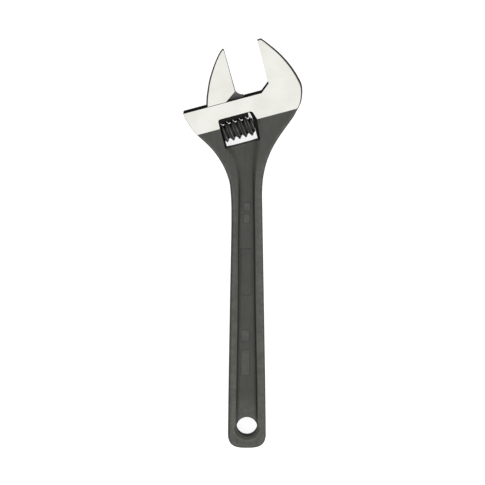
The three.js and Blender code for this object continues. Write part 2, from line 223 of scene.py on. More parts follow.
def inset(loop, distance):
    """An outline that keeps its inside on the left, with each of its edges moved in by its own distance."""
    edge = np.roll(loop, -1, axis=0) - loop
    edge /= np.linalg.norm(edge, axis=1)[:, None]
    after = np.column_stack([-edge[:, 1], edge[:, 0]])
    before = np.roll(after, 1, axis=0)
    far = np.broadcast_to(distance, len(loop))
    near = np.roll(far, 1)
    cosine = np.sum(before * after, axis=1)
    sine = np.maximum(1 - cosine**2, 1e-9)
    share_before, share_after = (near - far * cosine) / sine, (far - near * cosine) / sine
    corner = before * share_before[:, None] + after * share_after[:, None]
    straight = (before + after) * ((near + far) / 2 / (1 + cosine))[:, None]
    return loop + np.where((cosine > 0.97)[:, None], straight, corner)


def contains(loop, points):
    """Which points lie inside an outline."""
    inside = np.zeros(len(points), bool)
    for (x0, y0), (x1, y1) in zip(loop, np.roll(loop, -1, axis=0)):
        if y0 == y1:
            continue
        crosses = (y0 > points[:, 1]) != (y1 > points[:, 1])
        inside ^= crosses & (points[:, 0] < (x1 - x0) * (points[:, 1] - y0) / (y1 - y0) + x0)
    return inside


# ---------------------------------------------------------------- thickness of the forging
CHANNEL_EDGES = {"right": spline(CHANNEL_RIGHT), "left": spline(CHANNEL_LEFT)}


def channel_edge(side, y):
    line = CHANNEL_EDGES[side]
    return np.interp(y, line[:, 1], line[:, 0])


def ground_half(v):
    slope = (HEAD_HALF - JAW_TIP_HALF) / (JAW_TIP_V - FLAT_EDGE_V)
    return HEAD_HALF - slope * np.maximum(0, v - FLAT_EDGE_V)


def rim_half(x, y):
    fall = np.clip((GROUND_EDGE_V - plane_to_head(x, y)[1]) / SLOPE_LENGTH, 0, 1)
    eased = 0.5 * fall + 0.5 * smoothstep(fall, 0, 1)
    thinning_start = TAIL_START_Y - TAIL_REACH + TAIL_THINNING_LENGTH
    tail = np.clip((thinning_start - y) / TAIL_THINNING_LENGTH, 0, 1)
    top = HEAD_HALF - FORGED_STEP
    return top + (HANDLE_HALF - top) * eased - TAIL_THINNING * tail * tail


def outside_raised(x, y, bar):
    """Distance outside the edge of a raised bar or frame."""
    return np.maximum(np.abs(x - bar[0]) - bar[2] / 2, np.abs(y - bar[1]) - bar[3] / 2)


def raised_lift(x, y):
    shares = []
    for bar in RAISED:
        half_band = bar[4] / 2
        within = half_band - np.abs(outside_raised(x, y, bar) + half_band)
        shares.append(np.clip(within / RAISED_BEVEL, 0, 1))
    return RAISED_LIFT * np.max(shares, axis=0)


def raised_foot_shade(x, y):
    """Mask of painted shade: one at the foot of the raised bars, falling to nothing a short way off."""
    feet = []
    for bar in RAISED:
        out = outside_raised(x, y, bar)
        inner = -out - bar[4]
        is_frame = bar[4] < 2
        feet.append(np.clip(1 - np.abs(out) / RAISED_FOOT, 0, 1) * (out > -0.1))
        feet.append(np.clip(1 - np.abs(inner) / RAISED_FOOT, 0, 1) * (inner > -0.1) * is_frame)
    return np.max(feet, axis=0)


def channel_place(x, y):
    """Distance inside the channel's edges, and the width and depth of its walls."""
    depth = np.maximum(rim_half(x, y) - WEB_HALF, 0)
    inner = np.minimum(channel_edge("right", y) - x, x - channel_edge("left", y))
    slope = WALL_SLOPE + (NECK_WALL_SLOPE - WALL_SLOPE) * smoothstep(y, NECK_START_Y, NECK_END_Y)
    return inner, slope * depth + 0.4, depth


def forged_half(x, y):
    inner, width, depth = channel_place(x, y)
    sunk = smoothstep(y, *CHANNEL_RAMP)
    return rim_half(x, y) - depth * sunk * smoothstep(inner, -width / 2, width / 2) + raised_lift(x, y)


def forged_wear_and_shade(x, y):
    """Above zero on the rubbed rims and as a painted highlight on the web near the hole, below zero as
    painted shade at the foot of the channel walls and of the raised bars.
    """
    inner, width, depth = channel_place(x, y)
    # Painted shade along the foot of the channel walls, fading out toward the neck.
    foot = np.clip(1.25 - np.abs(inner - 0.2 * width) / (0.45 * width + 0.3), 0, 1)
    foot = foot * smoothstep(y, -2, 6) * (1 - smoothstep(y, NECK_START_Y, 252))
    rim = (1 - smoothstep(inner, -width / 2 - 0.6, 0.1 * width)) * (1 + 0.3 * (1 - smoothstep(y, 10, 60)))
    # The left rim is lighter near the tail and darker toward the neck.
    left = smoothstep(-x, 0, 5) * (0.4 - 0.9 * smoothstep(y, 20, 225))
    rims = RIM_RUB * rim * (1 - 0.8 * smoothstep(y, 225, 262)) * (1 + left)
    bars = 0.5 * raised_lift(x, y) / RAISED_LIFT
    # Painted highlight on the web where it rises towards the hanging hole.
    tail_web_highlight = 0.6 * smoothstep(inner, 0.5, 3) * (1 - smoothstep(y, 12, 36))
    rub_and_light = rims + bars + tail_web_highlight - foot - 0.7 * raised_foot_shade(x, y)
    return np.where(plane_to_head(x, y)[1] > GROUND_EDGE_V, 0, rub_and_light)


def half_thickness(x, y):
    v = plane_to_head(x, y)[1]
    return np.where(v > GROUND_EDGE_V, ground_half(v), forged_half(x, y))


def edge_radius(x, y):
    v = plane_to_head(x, y)[1]
    forged = SIDE_ROUND + (SIDE_ROUND_HEAD - SIDE_ROUND) * smoothstep(y, 200, 275)
    return forged + (SIDE_ROUND_GROUND - forged) * smoothstep(v, -27, GROUND_EDGE_V)


def draft(x, y):
    """How far the forged sides lean in from the parting line to the faces."""
    u, v = plane_to_head(x, y)
    jaw = HEAD_DRAFT * ground_half(v) * np.where(u > SHOULDER_U / 2, 1, 0.6)
    return HANDLE_DRAFT + (jaw - HANDLE_DRAFT) * smoothstep(v, -30, GROUND_EDGE_V)


# ---------------------------------------------------------------- closed skins with two mirrored faces

class Skin:
    """Front half of a piece that is the same on both faces: loops of side walls and a triangulated face."""

    def __init__(self, half, is_ground, wear_and_painted_light):
        self.half = half
        self.is_ground = is_ground
        self.wear_and_light_at = wear_and_painted_light
        self.points = []
        self.wear_and_painted_light = []
        self.faces = []
        self.slots = []
        self.rims = []
        self.middle = []

    def add_ring(self, xy, z, wear_and_painted_light):
        first = len(self.points)
        z = np.broadcast_to(z, len(xy))
        self.points.extend((x, y, h) for (x, y), h in zip(xy, z))
        self.wear_and_painted_light.extend(np.broadcast_to(wear_and_painted_light, len(xy)))
        return np.arange(first, first + len(xy))

    def add_wall(self, rings, slots=BLACK):
        """Side wall from the mid-plane ring up to the face. Each ring is (places, z, value of rub and
        painted light).
        """
        rows = [self.add_ring(*ring) for ring in rings]
        slots = np.broadcast_to(slots, len(rows[0]))
        for low, high in zip(rows, rows[1:]):
            self.faces.extend(zip(low, np.roll(low, -1), np.roll(high, -1), high))
            self.slots.extend(int(slot) for slot in slots)
        self.middle.append(rows[0])
        self.rims.append(rows[-1])

    def fill(self, extra, lines=(), spacing=2.2):
        """The face between the rims, through extra points and constraint lines."""
        rim_ids = np.concatenate(self.rims)
        all_points = np.array(self.points)
        outlines = [all_points[rim][:, :2] for rim in self.rims]
        sites = [all_points[rim_ids][:, :2]]
        edges = []
        start = 0
        for rim in self.rims:
            ids = np.arange(start, start + len(rim))
            edges.extend(zip(ids, np.roll(ids, -1)))
            start += len(rim)
        for line, is_closed in lines:
            ids = np.arange(start, start + len(line))
            pairs = list(zip(ids, np.roll(ids, -1)))
            edges.extend(pairs if is_closed else pairs[:-1])
            sites.append(np.asarray(line, float))
            start += len(line)
        sites.append(self.spread(extra, outlines, np.vstack(sites), spacing))
        made = delaunay_2d_cdt(
            [Vector(p) for p in np.vstack(sites)], [(int(a), int(b)) for a, b in edges], [], 0, 1e-6
        )
        flat = np.array([tuple(p) for p in made[0]])
        ids = np.full(len(flat), -1)
        rim_places = np.zeros(len(rim_ids), int)
        for new, sources in enumerate(made[3]):
            for source in sources:
                if source < len(rim_ids):
                    ids[new] = rim_ids[source]
                    rim_places[source] = new
        ends = np.cumsum([len(rim) for rim in self.rims])[:-1]
        outlines = [flat[places] for places in np.split(rim_places, ends)]
        fresh = np.flatnonzero(ids < 0)
        ids[fresh] = self.add_ring(flat[fresh], self.half(*flat[fresh].T), self.wear_and_light_at(*flat[fresh].T))
        triangles = np.array(made[2])
        middles = flat[triangles].mean(axis=1)
        keep = contains(outlines[0], middles)
        for hole in outlines[1:]:
            keep &= ~contains(hole, middles)
        ground = self.is_ground(*middles.T)
        for triangle, is_kept, is_ground in zip(ids[triangles], keep, ground):
            if is_kept:
                self.faces.append(tuple(triangle))
                self.slots.append(GROUND if is_ground else BLACK)

    def spread(self, extra, outlines, taken, spacing):
        """Guide points and an even grid, inside the face and clear of the points already there."""
        chosen = [taken]
        low, high = taken.min(axis=0), taken.max(axis=0)
        rows = np.arange(low[1], high[1], spacing * 0.87)
        grid = [
            (x, y)
            for k, y in enumerate(rows)
            for x in np.arange(low[0] + (k % 2) * spacing / 2, high[0], spacing)
        ]
        for points, gap in [*extra, (np.array(grid), 0.6 * spacing)]:
            inside = contains(outlines[0], points)
            for hole in outlines[1:]:
                inside &= ~contains(hole, points)
            points = points[inside]
            others = np.vstack(chosen)
            near = nearest(points, others, gap)
            chosen.append(points[near > gap])
        return np.vstack(chosen[1:])

    def build(self, name):
        """The closed mesh object: the front half and its mirror image, joined at the mid-plane."""
        count = len(self.points)
        points = np.array(self.points)
        mirror = np.arange(count, 2 * count)
        for ring in self.middle:
            mirror[ring] = ring
        back_points = points * (1, 1, -1)
        faces = [tuple(int(i) for i in f) for f in self.faces]
        back = [tuple(int(mirror[i]) for i in reversed(f)) for f in self.faces]
        mesh = bpy.data.meshes.new(name)
        mesh.from_pydata(np.vstack([points, back_points]).tolist(), [], faces + back)
        mesh.polygons.foreach_set("material_index", self.slots * 2)
        # Per-point values of rub, painted highlights and painted shade, read by the black finishes.
        wear_and_painted_light = mesh.attributes.new("wear_and_painted_light", "FLOAT", "POINT")
        wear_and_painted_light.data.foreach_set("value", np.array(self.wear_and_painted_light * 2, np.float32))
        tidy_mesh(mesh)
        return link(name, mesh)


def nearest(points, others, reach):
    """Distance from each point to the nearest of the others, looked up in cells of the given reach."""
    cells = {}
    for place in others:
        cells.setdefault((int(place[0] // reach), int(place[1] // reach)), []).append(place)
    found = np.full(len(points), np.inf)
    for i, (x, y) in enumerate(points):
        cx, cy = int(x // reach), int(y // reach)
        around = [p for dx in (-1, 0, 1) for dy in (-1, 0, 1) for p in cells.get((cx + dx, cy + dy), ())]
        if around:
            found[i] = math.sqrt(min((x - a) ** 2 + (y - b) ** 2 for a, b in around))
    return found


def tidy_mesh(mesh):
    """Drops unused points, welds doubles and closes slivers, with the faces turned outwards."""
    made = bmesh.new()
    made.from_mesh(mesh)
    bmesh.ops.delete(made, geom=[v for v in made.verts if not v.link_faces], context="VERTS")
    bmesh.ops.remove_doubles(made, verts=made.verts, dist=1e-5)
    bmesh.ops.holes_fill(made, edges=[e for e in made.edges if e.is_boundary], sides=4)
    bmesh.ops.recalc_face_normals(made, faces=made.faces)
    made.to_mesh(mesh)
    made.free()


def link(name, mesh):
    if not mesh.materials:
        for finish in FINISHES:
            mesh.materials.append(finish)
    piece = bpy.data.objects.new(name, mesh)
    bpy.context.scene.collection.objects.link(piece)
    return piece


def arc_rings(loop, half, radius, lean, rub):
    """Rings of a side wall that ends in a rounded edge: parting line, wall, and the arc up to the face.
    The radius and the lean are given for each edge of the loop."""
    rings = [(loop, 0.0, 0.7), (inset(loop, 0.2 * lean), 0.7, 0.4)]
    point_radius = np.minimum(radius, np.roll(radius, 1))
    for angle in np.radians([0, 22.5, 45, 67.5, 90]):
        place = inset(loop, lean + radius * (1 - np.cos(angle)))
        z = half(*place.T) - point_radius * (1 - np.sin(angle))
        rings.append((place, z, 0.4 + (rub - 0.4) * math.sin(angle)))
    return rings


def rounded_corners(corners, radii, steps=6, per_side=14):
    """An outline with rounded corners and the same number of points whatever its size."""
    p = np.array(corners, float)
    out = []
    ends = []
    for i, r in enumerate(radii):
        a, b, c = p[i - 1], p[i], p[(i + 1) % len(p)]
        to_a = (a - b) / np.linalg.norm(a - b)
        to_c = (c - b) / np.linalg.norm(c - b)
        reach = r / math.tan(math.acos(np.clip(to_a @ to_c, -1, 1)) / 2)
        start, end = b + to_a * reach, b + to_c * reach
        t = np.linspace(0, 1, steps + 1)[:, None]
        ends.append((1 - t) ** 2 * start + 2 * t * (1 - t) * b + t**2 * end)
    for i, corner in enumerate(ends):
        out.append(corner)
        here, there = corner[-1], ends[(i + 1) % len(ends)][0]
        t = np.linspace(0, 1, per_side + 1)[1:-1, None]
        out.append(here * (1 - t) + there * t)
    return np.vstack(out)


# ---------------------------------------------------------------- booleans
def cut(piece, tool, operation="DIFFERENCE"):
    """Adds or takes away a closed tool, and removes it."""
    change = piece.modifiers.new("cut", "BOOLEAN")
    change.operation = operation
    change.solver = "EXACT"
    change.object = tool
    bake(piece)
    bpy.data.objects.remove(tool)


def bake(piece):
    """Applies the modifiers of a piece to its mesh."""
    shown = piece.evaluated_get(bpy.context.evaluated_depsgraph_get())
    mesh = bpy.data.meshes.new_from_object(shown)
    piece.modifiers.clear()
    piece.data = mesh


def head_matrix():
    return Matrix.Translation((HEAD_X, HEAD_Y, 0)) @ Matrix.Rotation(HEAD_TURN, 4, "Z")


def solid(name, vertices, faces, slot=SHADED_BLACK, matrix=None):
    """A closed solid from points and faces, all of one finish."""
    mesh = bpy.data.meshes.new(name)
    mesh.from_pydata([tuple(map(float, v)) for v in vertices], [], faces)
    mesh.polygons.foreach_set("material_index", [slot] * len(mesh.polygons))
    mesh.attributes.new("wear_and_painted_light", "FLOAT", "POINT")
    tidy_mesh(mesh)
    mesh.transform(matrix or Matrix.Identity(4))
    return link(name, mesh)


def prism(name, outline, low, high, slot=SHADED_BLACK, matrix=None):
    """An outline in (x, y) carried from z = low to z = high."""
    count = len(outline)
    vertices = [(x, y, low) for x, y in outline] + [(x, y, high) for x, y in outline]
    sides = [(i, (i + 1) % count, count + (i + 1) % count, count + i) for i in range(count)]
    caps = [tuple(reversed(range(count))), tuple(range(count, 2 * count))]
    return solid(name, vertices, sides + caps, slot, matrix)


def tube_faces(rows, around):
    """Faces of a closed tube made of rows of points: its side, then its two ends."""
    faces = []
    for row in range(rows - 1):
        for k in range(around):
            a, b = row * around + k, row * around + (k + 1) % around
            faces.append((a, b, b + around, a + around))
    return faces + [tuple(range(around)), tuple(range((rows - 1) * around, rows * around))]


def lathe(name, profile, v, around=64, slot=SHADED_BLACK):
    """A turned shape on a line along u at the head's height v. The profile is (radius, u) points."""
    turns = [2 * math.pi * k / around for k in range(around)]
    vertices = [(u, v + r * math.cos(a), r * math.sin(a)) for r, u in profile for a in turns]
    return solid(name, vertices, tube_faces(len(profile), around), slot, head_matrix())


def rod(name, radius, u0, u1, v, around=64):
    return lathe(name, [(radius, u0), (radius, u1)], v, around)


def head_prism(name, outline_uv, half, slot=SHADED_BLACK):
    return prism(name, outline_uv, -half, half, slot, head_matrix())


# ---------------------------------------------------------------- body
def body_loop():
    """The forging's outline at the parting line, and the finish of each of its edges."""
    right = spline(RIGHT_EDGE)
    head = [head_to_plane(*p) for p in [
        (FIXED_FACE_U, JAW_TIP_V - 0.2), (FIXED_FACE_U, THROAT_RISE), (THROAT_U, 0), (SHOULDER_U, 0),
    ]]
    left = spline([*LEFT_EDGE, *[head_to_plane(*p) for p in LEFT_EDGE_HEAD]])[::-1]
    width = RIGHT_EDGE[0][0]
    turn = np.linspace(0, math.pi, 60)
    side = np.abs(np.cos(turn)) ** (2 / TAIL_POWER) * np.sign(np.cos(turn)) * -width
    tail = np.column_stack([side, TAIL_START_Y - TAIL_REACH * np.sin(turn) ** (2 / TAIL_POWER)])
    corners = [right[-1], JAW_TIP_LAND, *head]
    runs = [right, *zip(corners, corners[1:]), left, tail]
    # The throat and the top of the track get the darker copy of the black finish, as painted shade.
    return outline_with_finishes(runs, [BLACK, BLACK, BLACK, GROUND, SHADED_BLACK, SHADED_BLACK, BLACK, BLACK], 1.1)


def outline_with_finishes(runs, finishes, spacing):
    """A closed outline, and the finish of each of its edges."""
    counts = [len(resample(run, spacing)) - 1 for run in runs]
    return closed_loop(runs, spacing), np.repeat(finishes, counts)


def ground_line(v):
    """Points along a line across the head at height v, between the side edges."""
    return [head_to_plane(u, v) for u in np.arange(-44, 64, 0.9)]


def channel_guides():
    """Points that follow the channel's walls, so that their curves come out evenly."""
    guides = []
    for side, sign in [("right", 1), ("left", -1)]:
        line = CHANNEL_EDGES[side]
        line = resample(line[(line[:, 1] > 6) & (line[:, 1] < 274)], 1.2)
        along = np.gradient(line, axis=0)
        along /= np.linalg.norm(along, axis=1)[:, None]
        out = np.column_stack([along[:, 1], -along[:, 0]]) * sign
        width = channel_place(*line.T)[1]
        for share in (0, 0.2, -0.2, 0.38, -0.38, 0.55, -0.55):
            guides.append(line + out * (share * width)[:, None])
    return np.vstack(guides)


def raised_loops():
    """Outlines of the feet and top edges of the raised frame and bars."""
    loops = []
    for x, y, width, length, band in RAISED:
        for inside in (-0.5, 0, 0.2, band - 0.2, band, band + 0.5):
            a, b = width / 2 - inside, length / 2 - inside
            if min(a, b) < 0.5:
                continue
            corners = np.array([(-a, -b), (a, -b), (a, b), (-a, b)]) + (x, y)
            loops.append((closed_loop([*zip(corners, np.roll(corners, -1, axis=0))], 0.9), True))
    return loops


def window_rings():
    """Rings of the window's wall: straight through the web, then flaring to the face."""
    inside = np.array([head_to_plane(*p) for p in rounded_corners(WINDOW_INSIDE, WINDOW_INSIDE_ROUND)])
    face = np.array([head_to_plane(*p) for p in rounded_corners(WINDOW_FACE, WINDOW_FACE_ROUND)])
    top = half_thickness(*face.T)
    foot = np.minimum(FLARE_HALF, top - 0.5)
    rings = [(inside, 0.0, 0.0), (inside, foot - 0.3, 0.0), (inside + (face - inside) * 0.03, foot, 0.4)]
    for share in (0.35, 0.7, 0.94):
        rings.append((inside + (face - inside) * share, foot + (top - foot) * (share - 0.04), 0.0))
    lip = face + (face - inside) * 0.1
    rings += [(face, top - 0.12, 0.3), (lip, half_thickness(*lip.T), 0.3)]
    return [(ring[::-1], np.broadcast_to(z, len(ring))[::-1], wear_and_painted_light) for ring, z, wear_and_painted_light in rings]


def hole_rings():
    """Rings of the hanging hole and the shallow dish round it, which is wider below the hole. Their values
    paint a highlight on the dish's lower rim and shade on the bore's edge and chamfer.
    """
    turn = -np.arange(96) * 2 * math.pi / 96
    circle = np.column_stack([np.cos(turn), np.sin(turn)])
    top = HANDLE_HALF
    below = smoothstep(-circle[:, 1], -0.4, 0.3)
    # Last number of each ring: painted shade just outside the bore and a painted highlight on the dish's
    # rim, used below the hole.
    profile = [(0, 0, 0.5), (0, top - 0.75, 0.5), (0.12, top - 0.62, 0.2), (0.8, top - 0.5, -0.6),
               (1.7, top - 0.36, -0.4), (2.7, top - 0.22, 0.2), (3.3, top - 0.1, 1.6),
               (3.9, top - 0.02, 1.3), (4.5, top, 0.6)]
    rings = []
    for out, z, wear_and_painted_light in profile:
        ring = circle * (HOLE_RADIUS + out * (0.6 + 0.4 * below))[:, None]
        # Above the hole, painted shade on the bore and its chamfer.
        above_wear_and_shade = forged_wear_and_shade(*ring.T) - 0.9 * (out < HOLE_CHAMFER)
        mixed = wear_and_painted_light * below + above_wear_and_shade * (1 - below)
        rings.append((ring, np.minimum(z, half_thickness(*ring.T)), mixed))
    return rings


def body_piece():
    skin = Skin(half_thickness, lambda x, y: plane_to_head(x, y)[1] > GROUND_EDGE_V, forged_wear_and_shade)
    loop, finishes = body_loop()
    forged = finishes == BLACK
    radius = np.where(forged, edge_radius(*loop.T), MACHINED_RADIUS)
    lean = np.where(forged, draft(*loop.T), 0)
    skin.add_wall(arc_rings(loop, half_thickness, radius, lean, RIM_RUB + 0.2), finishes)
    window = window_rings()
    # All the window's walls but the bottom one get the darker copy of the black finish, as painted shade.
    is_bottom = plane_to_head(*window[0][0].T)[1] < WINDOW_INSIDE[0][1] + 0.4
    skin.add_wall(window, np.where(is_bottom, BLACK, SHADED_BLACK))
    skin.add_wall(hole_rings())
    across = [ground_line(GROUND_EDGE_V + side) for side in (-0.03, 0.03)]
    lines = [(part, False) for line in across for part in clip_line(line, skin)]
    skin.fill([(channel_guides(), 0.28)], lines + raised_loops(), 2.0)
    body = skin.build("forged_body")
    threaded = PIN_LEFT_U + PIN_THREAD_LENGTH + CLEARANCE
    slot_half = NECK_HALF + CLEARANCE
    left = SHOULDER_U - 3
    # The faces these cutters leave get the darker copy of the black finish, as painted shade in the bore,
    # slot and pin holes.
    cut(body, rod("bore", RAIL_RADIUS + CLEARANCE, left, BORE_END_U, RAIL_V))
    cut(body, head_prism("slot", [(left, RAIL_V), (BORE_END_U, RAIL_V), (BORE_END_U, SLOT_TOP_V),
                                  (left, SLOT_TOP_V)], slot_half))
    cut(body, rod("pin_hole", PIN_RADIUS + CLEARANCE, -40, PIN_RIGHT_U + CLEARANCE, WORM_V))
    cut(body, rod("pin_thread", PIN_THREAD_RADIUS + CLEARANCE, -40, threaded, WORM_V))
    return body


def clip_line(line, skin):
    """The stretches of a line that lie on the face, clear of the rims."""
    points = np.array(skin.points)
    outlines = [points[rim][:, :2] for rim in skin.rims]
    line = np.array(line)
    inside = contains(outlines[0], line)
    for hole in outlines[1:]:
        inside &= ~contains(hole, line)
    rim_points = np.vstack(outlines)
    inside &= nearest(line, rim_points, 0.5) > 0.5
    parts = np.split(np.arange(len(line)), np.flatnonzero(np.diff(inside.astype(int))) + 1)
    return [line[part] for part in parts if inside[part[0]] and len(part) > 1]


# ---------------------------------------------------------------- movable jaw
def jaw_half(x, y):
    return ground_half(plane_to_head(x, y)[1])


def jaw_piece():
    corners = [MOVABLE_FOOT[-1], (MOVABLE_FACE_U - 10.2, CLEARANCE), (MOVABLE_FACE_U, THROAT_RISE + 0.4),
               (MOVABLE_FACE_U, JAW_TIP_V - 0.6), MOVABLE_BACK[0]]
    runs = [*zip(corners, corners[1:]), spline(MOVABLE_BACK), spline(MOVABLE_FOOT)]
    runs = [[head_to_plane(*p) for p in run] for run in runs]
    loop, finishes = outline_with_finishes(runs, [GROUND, GROUND, GROUND, BLACK, BLACK, BLACK], 1.0)
    forged = finishes == BLACK
    skin = Skin(jaw_half, lambda x, y: x > -1e9, lambda x, y: np.zeros(len(x)))
    lean = np.where(forged, HEAD_DRAFT * jaw_half(*loop.T), 0)
    skin.add_wall(arc_rings(loop, jaw_half, np.where(forged, 0.25, MACHINED_RADIUS), lean, 0.3), finishes)
    skin.fill([], [], 2.2)
    jaw = skin.build("sliding_jaw")
    cut(jaw, neck_solid(), "UNION")
    cut(jaw, rail_solid(), "UNION")
    return jaw


def neck_solid():
    foot = (MOVABLE_FACE_U, THROAT_RISE + 0.4)
    t = np.linspace(0, 1, 13)[:, None]
    start, bend, end = np.array((RAIL_RIGHT_U, 1.6)), np.array((MOVABLE_FACE_U + 1.6, 2.4)), np.array(foot)
    hollow = (1 - t) ** 2 * start + 2 * t * (1 - t) * bend + t**2 * end
    outline = [(NECK_LEFT_U, RAIL_V), (RAIL_RIGHT_U, RAIL_V), *hollow,
               (MOVABLE_FACE_U - 4, THROAT_RISE + 0.4), (NECK_LEFT_U, 2)]
    return head_prism("neck", outline, NECK_HALF, BLACKED)


def rail_solid():
    """Round rail with chamfered ends and the rack cut into its underside."""
    r = RAIL_RADIUS
    left_end = [(r - 0.8, RAIL_LEFT_U), (r - 0.2, RAIL_LEFT_U + 0.5), (r, RAIL_LEFT_U + 1)]
    right_end = [(r, RAIL_RIGHT_U - 1), (r - 0.2, RAIL_RIGHT_U - 0.5), (r - 0.8, RAIL_RIGHT_U)]
    # The rail and its rack get the darker copy of the black finish, as painted shade.
    rail = lathe("rail", left_end + right_end, RAIL_V, 96)
    lead = math.atan(PITCH / (math.pi * (WORM_ROOT + WORM_RADIUS)))
    tip_half = PITCH / 2 - RACK_TIP_HALF
    outer, inner = tip_half + 2 * RACK_FLANK, tip_half - RACK_DEPTH * RACK_FLANK
    right_side = [(outer, -2), (inner + 0.25, RACK_DEPTH - 0.3), (inner - 0.2, RACK_DEPTH)]
    outline = [(-outer, -2), *right_side, *[(-x, y) for x, y in right_side[:0:-1]]]
    for space in RACK_SPACES:
        place = Matrix.Translation((GROOVE_U + (space + 0.5) * PITCH, RAIL_V - RAIL_RADIUS, 0))
        turn = Matrix.Rotation(lead, 4, "Y")
        cut(rail, prism("rack_space", outline, -9, 9, SHADED_BLACK, head_matrix() @ place @ turn))
    return rail


# ---------------------------------------------------------------- knurl, pin and spring
def worm_radius(distance):
    reach = np.minimum(1, distance / (0.425 * PITCH))
    return WORM_ROOT + (WORM_RADIUS - WORM_ROOT) * reach**1.6


def knurl_piece():
    """Worm with a rounded thread, straight-knurled crests, a bore and a pocket for the spring."""
    rows, around = 230, 180
    along = np.linspace(WORM_LEFT_U, WORM_RIGHT_U, rows)[:, None]
    angle = np.arange(around)[None] * 2 * math.pi / around
    turn = np.where(angle > math.pi, angle - 2 * math.pi, angle)
    phase = (along - GROOVE_U) / PITCH - turn / (2 * math.pi)
    distance = np.abs(phase - np.round(phase)) * PITCH
    radius = worm_radius(distance)
    end_bevel = np.minimum(along - WORM_LEFT_U, 0.6) - 0.6
    run_out = WORM_RADIUS - 3 * np.maximum(0, along - WORM_THREAD_END_U) + end_bevel
    radius = np.minimum(radius, np.maximum(run_out, WORM_ROOT))
    crest = smoothstep(radius, WORM_RADIUS - 0.75, WORM_RADIUS - 0.1)
    radius = radius - 0.42 * crest * (0.5 + 0.5 * np.cos(KNURLS * angle)) ** 2
    bore = PIN_RADIUS + CLEARANCE
    v = WORM_V + radius * np.cos(angle)
    z = radius * np.sin(angle)
    u = np.broadcast_to(along, radius.shape)
    vertices = np.stack([u, v, z], axis=-1).reshape(-1, 3)
    knurl = solid("knurl_worm", vertices, tube_faces(rows, around), BLACKED, head_matrix())
    # Painted highlights on the thread's flanks, painted shade in the grooves and on the crests.
    flank_highlight = np.exp(-(((distance - 0.28 * PITCH) / 0.34) ** 2))
    wear_and_painted_light = 1.3 * flank_highlight - (1 - smoothstep(distance, 0.4, 1.1)) - 0.5 * crest
    knurl.data.attributes["wear_and_painted_light"].data.foreach_set("value", wear_and_painted_light.reshape(-1).astype(np.float32))
    pocket = WORM_RIGHT_U - SPRING_POCKET_DEPTH
    cut(knurl, lathe("bore", [(bore + 1, WORM_LEFT_U - 0.5), (bore, WORM_LEFT_U + 0.5),
                              (bore, WORM_RIGHT_U + 1)], WORM_V, 64, BLACKED))
    cut(knurl, rod("pocket", SPRING_POCKET_RADIUS, pocket, WORM_RIGHT_U + 1, WORM_V))
    return knurl


def pin_piece():
    """Headless pin with rings that stand for its thread, and a screwdriver slot."""
    centre = 0.02
    outer, root = PIN_THREAD_RADIUS, PIN_THREAD_RADIUS - 0.45
    thread_end = PIN_LEFT_U + PIN_THREAD_LENGTH
    profile = [(centre, PIN_LEFT_U), (outer - 0.7, PIN_LEFT_U), (outer - 0.25, PIN_LEFT_U + 0.5)]
    for k in range(PIN_THREAD_TURNS):
        at = PIN_LEFT_U + 1 + k * PIN_THREAD_PITCH
        profile += [(outer, at), (outer, at + 0.15), (root, at + 0.6), (root, at + 0.75)]
    profile += [(outer, thread_end - 0.8), (PIN_RADIUS, thread_end), (PIN_RADIUS, PIN_RIGHT_U - 0.8),
                (PIN_RADIUS - 0.25, PIN_RIGHT_U - 0.25), (PIN_RADIUS - 0.8, PIN_RIGHT_U),
                (centre, PIN_RIGHT_U)]
    pin = lathe("slotted_pin", profile, WORM_V, 48, BLACKED)
    start, end = PIN_LEFT_U - 1, PIN_LEFT_U + PIN_SLOT_DEPTH
    slot = [(start, WORM_V - 5), (end, WORM_V - 5), (end, WORM_V + 5), (start, WORM_V + 5)]
    cut(pin, head_prism("slot", slot, PIN_SLOT_HALF))
    return pin


def spring_piece():
    start = WORM_RIGHT_U - SPRING_POCKET_DEPTH + 0.25 + SPRING_WIRE
    end = WINDOW_RIGHT_U - 0.25 - SPRING_WIRE
    steps, around = 48 * SPRING_TURNS, 12
    vertices = []
    for k in range(steps + 1):
        t = k / steps
        angle = 2 * math.pi * SPRING_TURNS * t
        for j in range(around):
            a = 2 * math.pi * j / around
            r = SPRING_RADIUS + SPRING_WIRE * math.cos(a)
            u = start + (end - start) * t + SPRING_WIRE * math.sin(a)
            vertices.append((u, WORM_V + r * math.cos(angle), r * math.sin(angle)))
    return solid("coil_spring", vertices, tube_faces(steps + 1, around), SPRING, head_matrix())


